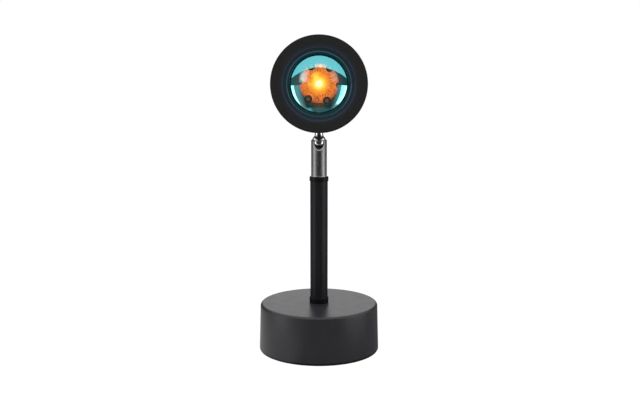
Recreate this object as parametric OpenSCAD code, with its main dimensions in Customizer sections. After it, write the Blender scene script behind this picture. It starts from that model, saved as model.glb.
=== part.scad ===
// Sunset projection lamp: a round weighted base, a slim stem, a slotted ball joint and a
// drum-shaped projector head with a domed, colour-coated lens.
// The origin is the centre of the base's underside. +Z is up and the lens faces -Y.

/* [Base] */
// Diameter of the base at its lower edge
base_d = 93.4; // [86:0.2:110]
// Height of the base's top face
base_h = 36.5; // [34:0.5:60]
// Draft of the base's side wall, in degrees
base_draft = 1.6; // [0.4:0.1:3]
// Thickness of the base's side wall
base_wall = 2; // [1.2:0.1:2.6]
// Thickness of the base's top wall
base_top_t = 2.2; // [1.5:0.1:3.5]
// Radius of the rounded edge round the base's top
base_edge_r = 2; // [0.4:0.1:2.6]
// Height of the casing's lower edge above the ground
base_lift = 0.8; // [0.4:0.1:1.2]
// Thickness of the rubber foot pad
pad_t = 1.6; // [1.4:0.1:3]
// Thickness of the steel base plate
plate_t = 1.5; // [1:0.1:2.5]
// Radius of each screw post inside the base
post_r = 3.8; // [3:0.1:4.4]
// Height of the cast counterweight
weight_h = 10; // [6:0.5:12]
// Radius of the counterweight's centre hole
weight_bore_r = 9; // [8.5:0.25:12]

/* [Driver] */
// Width of the driver board
board_w = 36; // [28:1:38]
// Depth of the driver board
board_l = 20; // [16:1:22]
// Thickness of the driver board
board_t = 1.6; // [1:0.1:2]
// Distance of the driver board's centre behind the stem
board_y = 22; // [21:0.5:23]
// Height of the spacers under the driver board
spacer_h = 3; // [2:0.5:4]
// Height of the transformer on the driver board
transformer_h = 9; // [6:0.5:10]

/* [Cord gland] */
// Radius of the gland's bore for the supply cord
gland_bore_r = 2.1; // [1.6:0.1:2.6]
// Height of the gland's axis
gland_z = 11; // [9:0.5:16]
// Radius of the gland's outer flange
gland_flange_r = 5.4; // [4.8:0.1:6]

/* [Stem] */
// Radius of the threaded tube that holds the stem together
tube_r = 4; // [3.5:0.05:4.3]
// Radius of the wire way through the threaded tube
tube_bore_r = 2.6; // [2:0.1:2.8]
// Radius of the collar at the stem's foot
foot_r = 7.4; // [7.1:0.1:10]
// Height of the collar at the stem's foot
foot_h = 4.5; // [4:0.5:12]
// Outer radius of the black sleeve
sleeve_r = 6.8; // [6.4:0.1:7]
// Wall of the black sleeve
sleeve_wall = 1.2; // [0.8:0.1:1.5]
// Length of the black sleeve
sleeve_l = 91.2; // [60:0.2:180]
// Radius of the collar on top of the sleeve
collar_r = 7.3; // [7:0.05:7.6]
// Height of the collar on top of the sleeve
collar_h = 3.6; // [2.5:0.1:6]

/* [Ball joint] */
// Outer radius of the slotted barrel
barrel_r = 6.05; // [5.95:0.05:6.5]
// Length of the slotted barrel
barrel_l = 28.15; // [26:0.05:40]
// Radius of the ball
ball_r = 5.3; // [5.1:0.02:5.4]
// Depth of the ball's centre below the barrel's mouth
ball_depth = 1.2; // [1.1:0.1:1.6]
// Width of the barrel's slot
slot_w = 7.3; // [7.2:0.05:7.6]
// Depth of the slot's round end below the ball's centre
slot_drop = 5.25; // [5:0.05:5.6]
// Width of the bevel round the slot, on the barrel's face
slot_flare = 1.65; // [0.8:0.05:1.8]
// Thickness of the barrel's floor
floor_t = 3; // [2:0.1:4]
// Radius of the bright neck between the ball and the head
neck_r = 3.2; // [3:0.05:3.3]
// Height of the neck's shoulder above the ball's centre
neck_l = 7.35; // [7.2:0.15:12]
// Radius of the stud that goes into the head
stud_r = 2.5; // [2.3:0.05:2.8]
// Radius of the wire way through the ball and the stud
wire_way_r = 1.7; // [1.4:0.05:1.8]

/* [Head] */
// Diameter of the head
head_d = 72; // [70:1:90]
// Distance of the head's front face from the stud's axis
face_u = 22; // [20:0.5:30]
// Distance of the head's rear face from the stud's axis
rear_u = 24; // [23:0.5:34]
// Wall thickness of the head's shell
head_wall = 1.8; // [1.2:0.1:2.2]
// Thickness of the front bezel's flange
bezel_t = 2.2; // [2:0.1:3]
// Radius of the rounded edge round the bezel
bezel_edge_r = 0.8; // [0.3:0.1:1.2]
// Radius where the bezel's flat face ends and its inner slope begins
slope_r = 27.3; // [26.8:0.1:29]
// Radius of the rear cover's rounded edge
cover_edge_r = 6; // [5:0.5:6.5]
// Length of the rear cover's straight side
cover_side = 1; // [0.5:0.25:2]
// Number of vent slots in the rear cover
vent_count = 12; // [8:1:16]
// Width of each vent slot
vent_w = 2.2; // [1.6:0.1:2.6]

/* [Optics] */
// Diameter of the lens
lens_d = 50; // [49:0.5:50.5]
// Curvature radius of the lens's dome
lens_curve_r = 38; // [32:1:60]
// Thickness of the lens at its rim
lens_rim_t = 2.5; // [2:0.1:3.2]
// Width of the bezel's lip over the lens's rim
lip_w = 0.8; // [0.6:0.05:1]
// Radius of the dome that shows inside the lens ring
view_r = 21.7; // [20.5:0.1:22]
// Radius of the star-shaped light board
star_r = 10; // [9:0.5:11]
// Thickness of the star-shaped light board
star_t = 1.6; // [1:0.1:2]
// Radius of the screw notches in the light board's edge
star_notch_r = 1.4; // [1.2:0.05:1.6]
// Radius of the light emitter's body
emitter_r = 4; // [3:0.1:4.5]
// Number of fins on the heat sink
fin_count = 7; // [3:2:9]

/* [Fits] */
// Radial clearance of the turning fits
run_gap = 0.05; // [0.03:0.01:0.08]
// Radial clearance of parts that slip or screw into each other and stay there
slip_gap = 0.05; // [0.03:0.01:0.1]
// End gap between parts that turn on each other
face_gap = 0.15; // [0.1:0.05:0.3]
// Gap between the neck's shoulder and the head
turn_gap = 0.25; // [0.2:0.05:0.4]

/* [Hidden] */

$fn = 96;
black = "#2b2a2d";
dark = "#1d1d1f";
steel = "#b9bcc0";
satin = "#9a9a9e";

// base, from the ground up
plate_z = pad_t;
plate_top = pad_t + plate_t;
base_r = base_d / 2;
ceiling_z = base_h - base_top_t;
post_count = 3;
post_start = 30;        // the third post lies in front of the stem
post_inset = 0.4;       // space between a post and the wall at the ceiling
post_circle = base_at(base_h) - base_wall - post_r - post_inset;
plate_gap = 0.3;        // radial space round the base plate
pad_inset = 0.7;        // the pad's raised disc ends this far inside the plate's edge
pad_reveal = 0.4;       // the pad's thin rim ends this far inside the casing's edge
weight_gap = 0.7;       // radial space between the counterweight and the posts
weight_r = post_circle - post_r - weight_gap;
weight_top = plate_top + weight_h;
screw_r = 1.5;
screw_head_r = 2.8;
screw_head_t = 1.1;
screw_l = 9;
pad_hole_r = 4;
deck_z = weight_top + spacer_h;
deck_top = deck_z + board_t;
spacer_r = 2;
spacer_inset = 3.5;     // from the board's edges to the spacers
spacer_shift = 3;       // the spacers stand nearer the stem, over the counterweight

// supply gland
spot_depth = 0.9;       // the flat seat for the gland's flange is cut this deep into the side wall
gland_hole_r = 3.9;
gland_seat_y = base_at(gland_z) - spot_depth;
gland_flange_t = 1.5;
gland_wall_in = base_at(gland_z) - base_wall - 0.4;
gland_lip_t = 1.6;
gland_lip_r = 4.6;

// stem, from the base up
washer_r = 8;
washer_t = 1.2;
nut_r = 7.5;
nut_h = 5;
tube_end = 1;           // thread that shows past each nut
nut_z = ceiling_z - washer_t - nut_h;
tube_bottom = nut_z - tube_end;
sleeve_z = base_h + foot_h;
collar_z = sleeve_z + sleeve_l;
collar_top = collar_z + collar_h;
spigot_h = 3;
spigot_r = sleeve_r - sleeve_wall - slip_gap;
foot_chamfer = 0.4;
collar_chamfer = 0.35;
barrel_z = collar_top + face_gap;
floor_top = barrel_z + floor_t;
swivel_nut_z = floor_top + face_gap;
swivel_nut_h = 2.2;
tube_top = swivel_nut_z + swivel_nut_h + tube_end / 4;
lead_r = 1.3;
bead = 0.1;             // a lead's bends are this much thicker than its straight runs

// barrel and ball
bore_r = ball_r + run_gap;
mouth_z = barrel_z + barrel_l;
ball_z = mouth_z - ball_depth;
mouth_chamfer = 0.45;
neck_root_r = neck_r + 0.3;
neck_root_l = 5.4;      // the neck's flare ends this far above the ball's centre
slot_r = slot_w / 2;
slot_z = ball_z - slot_drop + slot_r;
seat_ring_z = tube_top + 0.6;
seat_ring_t = 0.8;
seat_ring_r = 3.2;
cup_top = ball_z - neck_root_r - 0.6;
cup_l = 7.6;
cup_z = cup_top - cup_l;
cup_bore_r = 2.4;
spring_z = seat_ring_z + seat_ring_t;
spring_l = cup_z - spring_z;
spring_wire_r = 0.4;
spring_r = bore_r - spring_wire_r - 0.35;
spring_turns = 4;
spring_steps = 20;      // rings of the spring's mesh in one turn
spring_sides = 8;

// head: u is the distance in front of the stud's axis, along -Y
head_r = head_d / 2;
shoulder_z = ball_z + neck_l;
head_bottom = shoulder_z + turn_gap;
head_z = head_bottom + head_r;
shell_r = head_r - head_wall;
shell_front = face_u - bezel_t;
cover_u = rear_u - cover_edge_r - cover_side;
boss_r = 6;
boss_h = 2.2;
boss_top = head_bottom + head_wall + boss_h;
stud_washer_z = boss_top + face_gap;
stud_washer_t = 0.8;
stud_washer_r = 5;
stud_nut_z = stud_washer_z + stud_washer_t;
stud_nut_h = 2.8;
stud_nut_r = 4.6;
stud_top = stud_nut_z + stud_nut_h + 0.3;
baffle_r = head_z - stud_top - 1;   // the baffle passes over the stud's end
baffle_wall = 1.2;
sink_u = boss_r + 0.4;              // the sink's plate lies behind the stud's boss
sink_t = 3;
sink_gap = 0.3;
star_u = 0;                         // the light board's front lies on the stud's axis
pedestal_r = star_r + 3;
lug_r = 3.6;
lug_circle = shell_r - lug_r + 0.4;
lug_end = cover_u - 1;
lug_angles = [90, 210, 330];
pilot_r = screw_r + slip_gap;
sink_screw_l = 5.5;
cover_seat_u = rear_u - 3.6;        // where the cover's screw heads sit
cover_screw_l = cover_seat_u - sink_u - sink_screw_l - 1;
fin_t = 1.2;
fin_pitch = 6;
fin_h = 5;
fin_r = 24;

// optics
lens_r = lens_d / 2;
open_r = lens_r - lip_w;
pocket_r = lens_r + slip_gap * 2;
pocket_wall = 2;
lip_t = 1.5;
slope_drop = 0.9;                   // the slope's inner edge lies this far behind the face
seal_t = 0.5;
pocket_u = face_u - slope_drop - lip_t;
rim_u = pocket_u - seal_t;
lens_back_u = rim_u - lens_rim_t;
retainer_t = 2.2;
retainer_w = 1.6;
inner_end_u = lens_back_u - retainer_t - 0.4;
dome_r = open_r - 0.3;
dome_u = rim_u - sqrt(lens_curve_r * lens_curve_r - dome_r * dome_r);
ring_clear = 0.35;                  // space between the lens ring and the dome
ring_lip_t = 0.8;
ring_crest = 0.3;                   // the lens ring's crest stands this far above its inner edge
ring_edge = 0.5;
spigot_u = shell_front - 4;
star_first_notch = 55;              // the first of the six notches, in degrees
star_screw_angles = [55, 115, 235, 295];
star_screw_r = 1;
star_screw_head_r = 2.1;
star_screw_head_t = 1;
star_grip = 3;                      // the board's screws reach this far into the pedestal
lead_slot_w = 5;                    // the lead passes through slots in the baffle and pedestal
lead_slot_l = 2;                    // the baffle's slot ends this far in front of the stud's axis

function base_at(z) = base_d / 2 - z * tan(base_draft);
function dome_at(r) = dome_u + sqrt(lens_curve_r * lens_curve_r - r * r);
function arc(c, r, from, to, steps) =
    [for (i = [0 : steps]) let (a = from + (to - from) * i / steps) c + r * [cos(a), sin(a)]];

// turns a shape drawn along +Z about the head's axis so that it faces the front
module on_head() {
    translate([0, 0, head_z]) rotate([90, 0, 0]) children();
}

module ring(outer, inner, height) {
    difference() {
        cylinder(h = height, r = outer);
        translate([0, 0, -1]) cylinder(h = height + 2, r = inner);
    }
}

module rod(from, to, r) {
    d = to - from;
    translate(from)
        rotate([0, acos(d.z / norm(d)), atan2(d.y, d.x)])
            cylinder(h = norm(d), r = r);
}

// a wire through a list of points, with a round bead at each bend
module wire(points, r) {
    for (i = [0 : len(points) - 2]) rod(points[i], points[i + 1], r);
    for (i = [1 : len(points) - 2]) translate(points[i]) sphere(r + bead);
}

// a cross-head screw whose shank points along +Z from the underside of its head
module screw(length, r = screw_r, head_r = screw_head_r, head_t = screw_head_t) {
    arm = head_r / 2;
    half = arm / 5;
    difference() {
        union() {
            translate([0, 0, -head_t]) cylinder(h = head_t, r = head_r);
            translate([0, 0, -head_t / 2]) cylinder(h = length + head_t / 2, r = r);
        }
        for (a = [0, 90])
            rotate([0, 0, a])
                translate([-arm, -half, -head_t - 0.1]) cube([2 * arm, 2 * half, 0.8]);
    }
}

module at_posts() {
    for (i = [0 : post_count - 1])
        rotate([0, 0, post_start + i * 360 / post_count])
            translate([post_circle, 0, 0]) children();
}

module at_lugs() {
    for (a = lug_angles)
        rotate([0, 0, a]) translate([lug_circle, 0, 0]) children();
}

// ---- stand ----
module base_shell() {
    edge = base_edge_r;
    color(black)
    difference() {
        union() {
            difference() {
                rotate_extrude()
                    polygon(concat(
                        [[0, base_lift], [base_at(base_lift), base_lift]],
                        arc([base_at(base_h - edge) - edge, base_h - edge], edge, 0, 90, 8),
                        [[0, base_h]]));
                rotate_extrude()
                    polygon([[0, base_lift - 1],
                             [base_at(base_lift - 1) - base_wall, base_lift - 1],
                             [base_at(ceiling_z) - base_wall, ceiling_z],
                             [0, ceiling_z]]);
            }
            at_posts()
                translate([0, 0, plate_top])
                    cylinder(h = base_h - base_top_t / 2 - plate_top, r = post_r);
        }
        translate([0, 0, ceiling_z - 1]) cylinder(h = base_top_t + 2, r = tube_r + slip_gap);
        at_posts()
            translate([0, 0, plate_top - 1]) cylinder(h = screw_l + 2, r = pilot_r);
        translate([0, base_r / 2, gland_z]) rotate([-90, 0, 0])
            cylinder(h = base_r, r = gland_hole_r);
        translate([0, gland_seat_y, gland_z]) rotate([-90, 0, 0])
            cylinder(h = base_r, r = gland_flange_r + slip_gap);
    }
}

module counterweight() {
    color("#4a4744")
        translate([0, 0, plate_top]) ring(weight_r, weight_bore_r, weight_h);
}

module base_plate() {
    color(steel)
    difference() {
        translate([0, 0, plate_z])
            cylinder(h = plate_t, r = base_at(plate_z) - base_wall - plate_gap);
        at_posts() cylinder(h = plate_top + 1, r = screw_r + 2 * slip_gap);
    }
}

module foot_pad() {
    color(dark)
    difference() {
        union() {
            cylinder(h = base_lift, r = base_at(base_lift) - pad_reveal);
            cylinder(h = pad_t, r = base_at(0) - base_wall - plate_gap - pad_inset);
        }
        at_posts() translate([0, 0, -1]) cylinder(h = pad_t + 2, r = pad_hole_r);
    }
}

module base_screws() {
    color(steel)
        at_posts() translate([0, 0, plate_z]) screw(plate_t + screw_l);
}

module cord_gland() {
    color(dark)
    translate([0, 0, gland_z]) rotate([-90, 0, 0])
        rotate_extrude()
            polygon([[gland_bore_r, gland_wall_in - gland_lip_t],
                     [gland_lip_r - 0.6, gland_wall_in - gland_lip_t],
                     [gland_lip_r, gland_wall_in],
                     [gland_hole_r - slip_gap, gland_wall_in],
                     [gland_hole_r - slip_gap, gland_seat_y],
                     [gland_flange_r, gland_seat_y],
                     [gland_flange_r, gland_seat_y + gland_flange_t - 0.5],
                     [gland_flange_r - 0.5, gland_seat_y + gland_flange_t],
                     [gland_bore_r, gland_seat_y + gland_flange_t]]);
}

module board_spacers() {
    color("white")
        for (x = [-1, 1], y = [-1, 1])
            translate([x * (board_w / 2 - spacer_inset),
                       board_y - spacer_shift + y * (board_l / 2 - spacer_inset - spacer_shift),
                       weight_top])
                cylinder(h = spacer_h, r = spacer_r);
}

module driver_board() {
    color("#1f6b3a")
        translate([-board_w / 2, board_y - board_l / 2, deck_z]) cube([board_w, board_l, board_t]);
}

module driver_parts() {
    block_w = 13;
    block_l = 12;
    can_r = 3.2;
    can_h = 8;
    terminal = [9, 7, 7];
    edge = board_w / 2 - 1;
    translate([-block_w / 2, board_y - block_l / 2, deck_top]) {
        color("#d8b830") cube([block_w, block_l, transformer_h]);
    }
    for (y = [-1, 1])
        color("#27324a")
            translate([edge - can_r, board_y + y * (can_r + 0.6), deck_top])
                cylinder(h = can_h, r = can_r);
    color("#2f8f4f")
        translate([-edge, board_y - terminal.y / 2, deck_top]) cube(terminal);
}

module stem_tube() {
    color(steel)
        translate([0, 0, tube_bottom]) ring(tube_r, tube_bore_r, tube_top - tube_bottom);
}

module stem_washer() {
    color(steel)
        translate([0, 0, ceiling_z - washer_t]) ring(washer_r, tube_r + slip_gap, washer_t);
}

module stem_nut() {
    color(steel)
    translate([0, 0, nut_z])
        difference() {
            cylinder(h = nut_h, r = nut_r, $fn = 6);
            translate([0, 0, -1]) cylinder(h = nut_h + 2, r = tube_r + slip_gap);
        }
}

module foot_collar() {
    hole_r = tube_r + slip_gap;
    color(dark)
    rotate_extrude()
        polygon([[hole_r, base_h], [foot_r, base_h], [foot_r, sleeve_z - foot_chamfer],
                 [foot_r - foot_chamfer, sleeve_z], [spigot_r, sleeve_z],
                 [spigot_r, sleeve_z + spigot_h], [hole_r, sleeve_z + spigot_h]]);
}

module stem_sleeve() {
    color(black)
        translate([0, 0, sleeve_z]) ring(sleeve_r, sleeve_r - sleeve_wall, sleeve_l);
}

module top_collar() {
    hole_r = tube_r + slip_gap;
    edge = collar_chamfer;
    color(dark)
    rotate_extrude()
        polygon([[hole_r, collar_z - spigot_h], [spigot_r, collar_z - spigot_h],
                 [spigot_r, collar_z], [collar_r - edge, collar_z], [collar_r, collar_z + edge],
                 [collar_r, collar_top - edge], [collar_r - edge, collar_top],
                 [hole_r, collar_top]]);
}

module swivel_nut() {
    color(steel)
        translate([0, 0, swivel_nut_z])
            ring(bore_r - 0.35, tube_r + slip_gap, swivel_nut_h);
}

module stem_lead() {
    start = [0, board_y - board_l / 2 + 1, deck_top + lead_r];
    color("#e8e4da")
        wire([start, [0, start.y - 4, start.z], [0, 0, tube_bottom - 3], [0, 0, tube_top]], lead_r);
}

// ---- barrel ----
module slotted_barrel() {
    color(satin)
    difference() {
        translate([0, 0, barrel_z]) {
            cylinder(h = barrel_l - mouth_chamfer, r = barrel_r);
            translate([0, 0, barrel_l - mouth_chamfer])
                cylinder(h = mouth_chamfer, r1 = barrel_r, r2 = barrel_r - mouth_chamfer);
        }
        translate([0, 0, barrel_z - 1]) cylinder(h = floor_t + 2, r = tube_r + run_gap);
        translate([0, 0, floor_top]) cylinder(h = ball_z - floor_top, r = bore_r);
        translate([0, 0, ball_z]) sphere(bore_r);
        slot_cut();
    }
}

// a slot with a round lower end, flared at 45 degrees where it meets the barrel's face
module slot_cut() {
    reach = barrel_r + 1;
    flare_y = barrel_r - slot_flare;
    wide = slot_r + reach - flare_y;
    height = mouth_z - slot_z + 1;
    translate([0, 0, slot_z]) {
        rotate([90, 0, 0]) cylinder(h = reach, r = slot_r);
        translate([-slot_r, -reach, 0]) cube([slot_w, reach, height]);
        translate([0, -flare_y, 0]) rotate([90, 0, 0])
            cylinder(h = reach - flare_y, r1 = slot_r, r2 = wide);
        linear_extrude(height)
            polygon([[-slot_r, -flare_y], [-wide, -reach], [wide, -reach], [slot_r, -flare_y]]);
    }
}

module spring_seat() {
    color(steel)
        translate([0, 0, seat_ring_z]) ring(bore_r - slip_gap, seat_ring_r, seat_ring_t);
}

// the spring is a wire swept along a helix, and its end turns lie flat on their seats
module seat_spring() {
    rings = spring_turns * spring_steps;
    travel = spring_l - 2 * spring_wire_r;
    low = spring_z + spring_wire_r;
    function rise(t) = travel * max(0, min(1, (t * spring_turns - 0.75) / (spring_turns - 1.5)));
    points = [for (i = [0 : rings], j = [0 : spring_sides - 1])
        let (t = i / rings, turn = 360 * spring_turns * t, a = 360 * j / spring_sides,
             r = spring_r + spring_wire_r * 0.95 * cos(a))
        [r * cos(turn), r * sin(turn), low + rise(t) + spring_wire_r * 0.95 * sin(a)]];
    skin = [for (i = [0 : rings - 1], j = [0 : spring_sides - 1])
        let (k = (j + 1) % spring_sides, n = spring_sides)
        [i * n + j, i * n + k, (i + 1) * n + k, (i + 1) * n + j]];
    first = [[for (j = [spring_sides - 1 : -1 : 0]) j]];
    last = [[for (j = [0 : spring_sides - 1]) rings * spring_sides + j]];
    color(steel) polyhedron(points, concat(skin, first, last));
}

module ball_seat() {
    color(black)
    difference() {
        translate([0, 0, cup_z]) cylinder(h = cup_l, r = bore_r - slip_gap);
        translate([0, 0, ball_z]) sphere(ball_r + run_gap);
        translate([0, 0, cup_z - 1]) cylinder(h = cup_l + 2, r = cup_bore_r);
    }
}

// ---- ball ----
module swivel_ball() {
    root_z = sqrt(ball_r * ball_r - neck_root_r * neck_root_r) - 0.1;
    color("#d9dadc")
    difference() {
        translate([0, 0, ball_z]) {
            sphere(ball_r);
            translate([0, 0, root_z])
                cylinder(h = neck_root_l - root_z, r1 = neck_root_r, r2 = neck_r);
            translate([0, 0, root_z]) cylinder(h = neck_l - root_z, r = neck_r);
            cylinder(h = stud_top - ball_z, r = stud_r);
        }
        translate([0, 0, ball_z - ball_r - 1])
            cylinder(h = stud_top - ball_z + ball_r + 2, r = wire_way_r);
    }
}

module stud_washer() {
    color(steel)
        translate([0, 0, stud_washer_z]) ring(stud_washer_r, stud_r + slip_gap, stud_washer_t);
}

module stud_nut() {
    color(steel)
    translate([0, 0, stud_nut_z])
        difference() {
            cylinder(h = stud_nut_h, r = stud_nut_r, $fn = 6);
            translate([0, 0, -1]) cylinder(h = stud_nut_h + 2, r = stud_r + slip_gap);
        }
}

module stud_lead() {
    color("#e8e4da")
        translate([0, 0, ball_z - ball_r + 0.6])
            cylinder(h = stud_top - ball_z + ball_r - 0.6, r = lead_r);
}

// ---- head ----
module head_shell() {
    color(black)
    difference() {
        union() {
            on_head()
                translate([0, 0, -cover_u]) ring(head_r, shell_r, shell_front + cover_u);
            intersection() {
                translate([0, 0, head_bottom]) cylinder(h = boss_top - head_bottom, r = boss_r);
                on_head()
                    cylinder(h = shell_front + cover_u, r = head_r - head_wall / 2, center = true);
            }
            on_head()
                at_lugs()
                    translate([0, 0, -lug_end]) cylinder(h = lug_end - sink_u - sink_t, r = lug_r);
        }
        translate([0, 0, head_bottom - 1])
            cylinder(h = boss_top - head_bottom + 2, r = stud_r + run_gap);
        on_head()
            at_lugs()
                translate([0, 0, -lug_end - 1])
                    cylinder(h = lug_end - sink_u - sink_t + 2, r = pilot_r);
    }
}

module front_bezel() {
    edge = bezel_edge_r;
    hub_r = pocket_r + pocket_wall;
    skirt_r = shell_r - slip_gap;
    skirt_t = 1.8;
    color(black)
    on_head()
        rotate_extrude()
            polygon(concat(
                [[head_r, shell_front]],
                arc([head_r - edge, face_u - edge], edge, 0, 90, 8),
                [[slope_r, face_u], [open_r, face_u - slope_drop], [open_r, pocket_u],
                 [pocket_r, pocket_u], [pocket_r, inner_end_u], [hub_r, inner_end_u],
                 [hub_r, shell_front], [skirt_r - skirt_t, shell_front],
                 [skirt_r - skirt_t, spigot_u], [skirt_r, spigot_u], [skirt_r, shell_front]]));
}

module lens_ring() {
    thread_r = open_r - slip_gap;
    lip_u = dome_at(view_r) + ring_clear;
    outer_u = face_u - slope_drop;
    color(dark)
    on_head()
        rotate_extrude()
            polygon([[thread_r, rim_u + ring_clear], [view_r, lip_u], [view_r, lip_u + ring_lip_t],
                     [view_r + ring_edge, lip_u + ring_lip_t + ring_crest],
                     [thread_r - ring_edge, outer_u + ring_lip_t + ring_crest],
                     [thread_r, outer_u + ring_lip_t]]);
}

module lens_seal() {
    color(dark)
        on_head() translate([0, 0, rim_u]) ring(lens_r, open_r, seal_t);
}

module lens() {
    color("#e8873a", 0.55)
    on_head() {
        translate([0, 0, lens_back_u]) cylinder(h = lens_rim_t, r = lens_r);
        intersection() {
            translate([0, 0, dome_u]) sphere(lens_curve_r, $fn = 180);
            translate([0, 0, lens_back_u + 0.5]) cylinder(h = lens_curve_r, r = dome_r);
        }
    }
}

module lens_retainer() {
    notch = 2;
    color(dark)
    on_head()
        difference() {
            translate([0, 0, lens_back_u - retainer_t]) ring(lens_r, lens_r - retainer_w, retainer_t);
            translate([-lens_r, -notch / 2, lens_back_u - retainer_t - 1])
                cube([lens_d, notch, 1.8]);
        }
}

module light_baffle() {
    front = inner_end_u;
    color(dark)
    on_head()
        difference() {
            translate([0, 0, -sink_u]) ring(baffle_r, baffle_r - baffle_wall, front + sink_u);
            translate([-lead_slot_w / 2, -baffle_r - 1, -sink_u - 1])
                cube([lead_slot_w, 2 * baffle_wall + 1, sink_u + 1 + lead_slot_l]);
        }
}

module heat_sink() {
    spread = (fin_count - 1) / 2;
    color(dark)
    on_head()
        difference() {
            union() {
                translate([0, 0, -sink_u - sink_t]) cylinder(h = sink_t, r = shell_r - sink_gap);
                translate([0, 0, -sink_u - 1])
                    cylinder(h = sink_u + 1 - star_t - star_u, r = pedestal_r);
                intersection() {
                    for (i = [-spread : spread])
                        translate([i * fin_pitch - fin_t / 2, -fin_r, -sink_u - sink_t - fin_h])
                            cube([fin_t, 2 * fin_r, fin_h + 1]);
                    translate([0, 0, -sink_u - sink_t - fin_h - 1])
                        cylinder(h = fin_h + 3, r = fin_r);
                }
            }
            at_lugs()
                translate([0, 0, -sink_u - sink_t - 1])
                    cylinder(h = sink_t + 2, r = screw_r + 2 * slip_gap);
            at_star_screws()
                translate([0, 0, -sink_u]) cylinder(h = sink_u + 1, r = star_screw_r + slip_gap);
            translate([-lead_slot_w / 2, -pedestal_r - 1, -sink_u])
                cube([lead_slot_w, pedestal_r + 1 - star_r + 2 * lead_r, sink_u + 1]);
        }
}

module heat_sink_screws() {
    color(steel)
        on_head() at_lugs() translate([0, 0, -sink_u]) mirror([0, 0, 1]) screw(sink_screw_l);
}

module at_star_screws() {
    for (a = star_screw_angles)
        rotate([0, 0, a]) translate([star_r, 0, 0]) children();
}

// the board is round with six notches, and screws clamp it through four of them
module led_board() {
    color("#e9e6df")
    on_head()
        difference() {
            translate([0, 0, -star_u - star_t]) cylinder(h = star_t, r = star_r);
            for (i = [0 : 5])
                rotate([0, 0, star_first_notch + i * 60])
                    translate([star_r, 0, -star_u - star_t - 1])
                        cylinder(h = star_t + 2, r = star_notch_r);
        }
}

module led_screws() {
    color(steel)
        on_head() at_star_screws() translate([0, 0, -star_u]) mirror([0, 0, 1])
            screw(star_t + star_grip, star_screw_r, star_screw_head_r, star_screw_head_t);
}

module led_emitter() {
    body_h = 1.4;
    color("#f7d774")
    on_head() {
        translate([0, 0, -star_u]) cylinder(h = body_h, r = emitter_r);
        translate([0, 0, -star_u + body_h - 0.3]) intersection() {
            sphere(emitter_r * 0.72);
            cylinder(h = emitter_r, r = emitter_r);
        }
    }
}

// the lead rises from the stud's end, passes under the baffle and ends on the light board
module head_lead() {
    bend_z = head_z - baffle_r + 2;
    entry_z = head_z - star_r - 0.9;
    back_y = sink_u - lead_r - 0.3;
    color("#e8e4da")
        wire([[0, 0, stud_top + 0.4], [0, 0, stud_top + 1.6], [0, back_y, bend_z + 3],
              [0, back_y, entry_z]], lead_r);
}

module rear_cover() {
    edge = cover_edge_r;
    wall = head_wall;
    bend = [head_r - edge, -(rear_u - edge)];
    vent_from = 10;
    vent_to = 23;
    skirt_r = shell_r - slip_gap;
    skirt_t = 1.5;
    skirt_l = 1.6;
    color(black)
    on_head()
        difference() {
            union() {
                rotate_extrude()
                    polygon(concat(
                        [[skirt_r, -cover_u], [head_r, -cover_u]],
                        arc(bend, edge, 0, -90, 10),
                        [[0, -rear_u], [0, wall - rear_u]],
                        arc(bend, edge - wall, -90, 0, 10),
                        [[skirt_r - skirt_t, -cover_u - 0.7],
                         [skirt_r - skirt_t, skirt_l - cover_u], [skirt_r, skirt_l - cover_u]]));
                at_lugs()
                    translate([0, 0, wall / 2 - rear_u])
                        intersection() {
                            cylinder(h = rear_u - wall / 2 - lug_end, r = lug_r - 0.6);
                            translate([-lug_circle, 0, 0])
                                cylinder(h = rear_u, r = shell_r - slip_gap);
                        }
            }
            at_lugs() {
                translate([0, 0, -rear_u - 1]) cylinder(h = rear_u, r = screw_r + 2 * slip_gap);
                translate([0, 0, -rear_u - 1])
                    cylinder(h = rear_u + 1 - cover_seat_u, r = screw_head_r + slip_gap);
                translate([0, 0, -lug_end]) cylinder(h = lug_end - sink_u, r = lug_r + 0.3);
            }
            for (i = [0 : vent_count - 1])
                rotate([0, 0, 360 * (i + 0.5) / vent_count])
                    translate([0, 0, -rear_u - 1]) {
                        translate([vent_from, -vent_w / 2, 0])
                            cube([vent_to - vent_from, vent_w, wall + 2]);
                        for (r = [vent_from, vent_to])
                            translate([r, 0, 0]) cylinder(h = wall + 2, r = vent_w / 2);
                    }
        }
}

module rear_screws() {
    color(steel)
        on_head() at_lugs() translate([0, 0, -cover_seat_u]) screw(cover_screw_l);
}

base_shell();
counterweight();
base_plate();
foot_pad();
base_screws();
cord_gland();
driver_board();
driver_parts();
board_spacers();
stem_tube();
stem_washer();
stem_nut();
foot_collar();
stem_sleeve();
top_collar();
swivel_nut();
stem_lead();
slotted_barrel();
spring_seat();
seat_spring();
ball_seat();
swivel_ball();
stud_washer();
stud_nut();
stud_lead();
head_shell();
front_bezel();
lens_ring();
lens_seal();
lens();
lens_retainer();
light_baffle();
heat_sink();
heat_sink_screws();
led_board();
led_screws();
led_emitter();
head_lead();
rear_cover();
rear_screws();
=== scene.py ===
# %% [markdown]
# # A sunset projection lamp
# The lamp is a weighted round base, a slim black stem, a slotted ball joint and a drum-shaped head
# whose domed lens throws an orange disc on the wall. Its solids come ready made, in metres, each
# where it belongs, so this lesson only dresses them: light, finishes, and the fine pieces that a
# solid modeller leaves out. The solids are never moved or reshaped here.

# %% Load the solids
import math

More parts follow.
